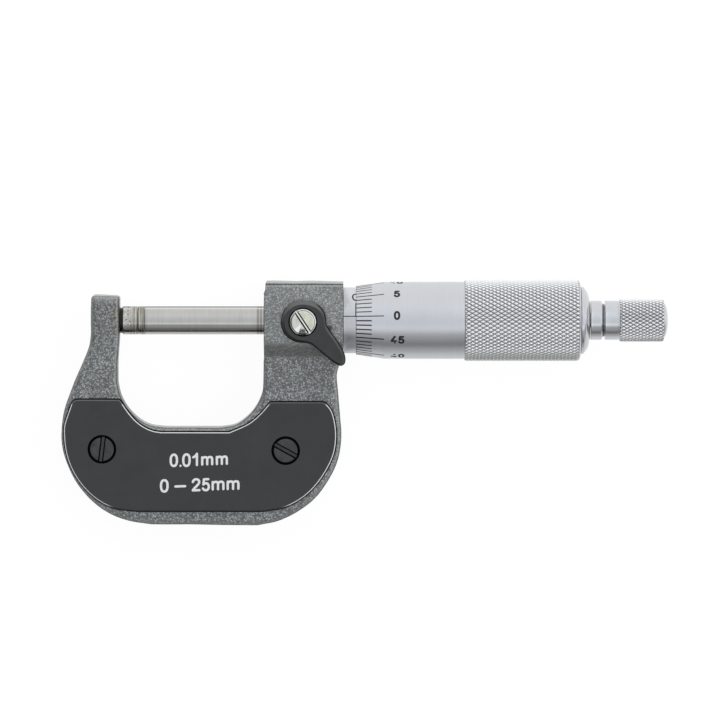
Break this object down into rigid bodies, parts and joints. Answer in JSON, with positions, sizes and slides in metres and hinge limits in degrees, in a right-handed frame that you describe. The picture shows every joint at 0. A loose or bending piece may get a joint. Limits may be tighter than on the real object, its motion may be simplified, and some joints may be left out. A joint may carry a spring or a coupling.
{
  "type": "outside micrometer",
  "caption": "Outside micrometer with a C-shaped frame, graduated thimble, ratchet stop and spindle lock lever, lying on its back.",
  "frame": {"origin": "middle of the bounding box's footprint, at its lowest level", "axes": "+X along the spindle from the anvil to the ratchet, +Y across the C frame towards the spindle side, +Z out of the front face with the scale and the lock lever"},
  "size_m": [0.1394, 0.0562, 0.0203],
  "materials": {
    "hammered_frame": "grey hammered paint on cast iron",
    "black_cover": "satin black moulded cover with white print",
    "black_screw": "blackened steel",
    "steel": "ground steel",
    "carbide": "lapped hard metal",
    "satin_chrome": "satin chrome",
    "black_lever": "satin black paint",
    "bright_plate": "turned face, nickel plated",
    "brass": "turned",
    "spring": "spring wire"
  },
  "bodies": {
    "frame": {"c_frame": "hammered_frame", "anvil": "steel", "anvil_tip": "carbide", "front_plate": "black_cover", "rear_plate": "black_cover", "plate_screw_front_left": "black_screw", "plate_screw_front_right": "black_screw", "plate_screw_rear_left": "black_screw", "plate_screw_rear_right": "black_screw", "threaded_bush": "steel", "sleeve": "satin_chrome", "adjusting_nut": "steel"},
    "measuring_face": {"spindle_tip": "carbide"},
    "spindle_and_thimble": {"spindle": "steel", "thimble": "satin_chrome", "thimble_hub": "satin_chrome", "ratchet_stem": "satin_chrome", "ratchet_spring": "spring", "ratchet_washer": "steel", "ratchet_screw": "steel"},
    "ratchet_clutch": {"ratchet_clutch_ring": "steel"},
    "ratchet_stop": {"ratchet_knob": "satin_chrome", "ratchet_wheel": "steel", "ratchet_end_cap": "satin_chrome"},
    "lock_shoe": {"lock_pad": "brass"},
    "clamp_lever": {"lock_lever": "black_lever", "lock_stud": "steel", "lock_screw": "bright_plate"}
  },
  "joints": [
    {"name": "spindle_travel", "type": "slide", "parent": "frame", "child": "measuring_face", "axis": [1, 0, 0], "range_m": [0, 0.025]},
    {"name": "thimble_turn", "type": "hinge", "parent": "measuring_face", "child": "spindle_and_thimble", "pos_m": [-0.00192, 0.0188, 0.00935], "axis": [1, 0, 0], "range_deg": [0, 18000]},
    {"name": "ratchet_turn", "type": "hinge", "parent": "spindle_and_thimble", "child": "ratchet_stop", "pos_m": [0.0618, 0.0188, 0.00935], "axis": [1, 0, 0], "continuous": true},
    {"name": "clutch_lift", "type": "slide", "parent": "spindle_and_thimble", "child": "ratchet_clutch", "axis": [-1, 0, 0], "range_m": [0, 0.00045], "stiffness_N_per_m": 2000, "deforming": ["ratchet_spring"]},
    {"name": "lock_turn", "type": "hinge", "parent": "frame", "child": "clamp_lever", "pos_m": [-0.01402, 0.0188, 0.0185], "axis": [0, 0, -1], "range_deg": [0, 60]},
    {"name": "lock_press", "type": "slide", "parent": "frame", "child": "lock_shoe", "axis": [0, 0, -1], "range_m": [0, 0.000125]}
  ],
  "couplings": [
    {"joint": "thimble_turn", "follows": "spindle_travel", "rad_per_m": 12566},
    {"joint": "lock_turn", "follows": "lock_press", "rad_per_m": 8377.6}
  ]
}
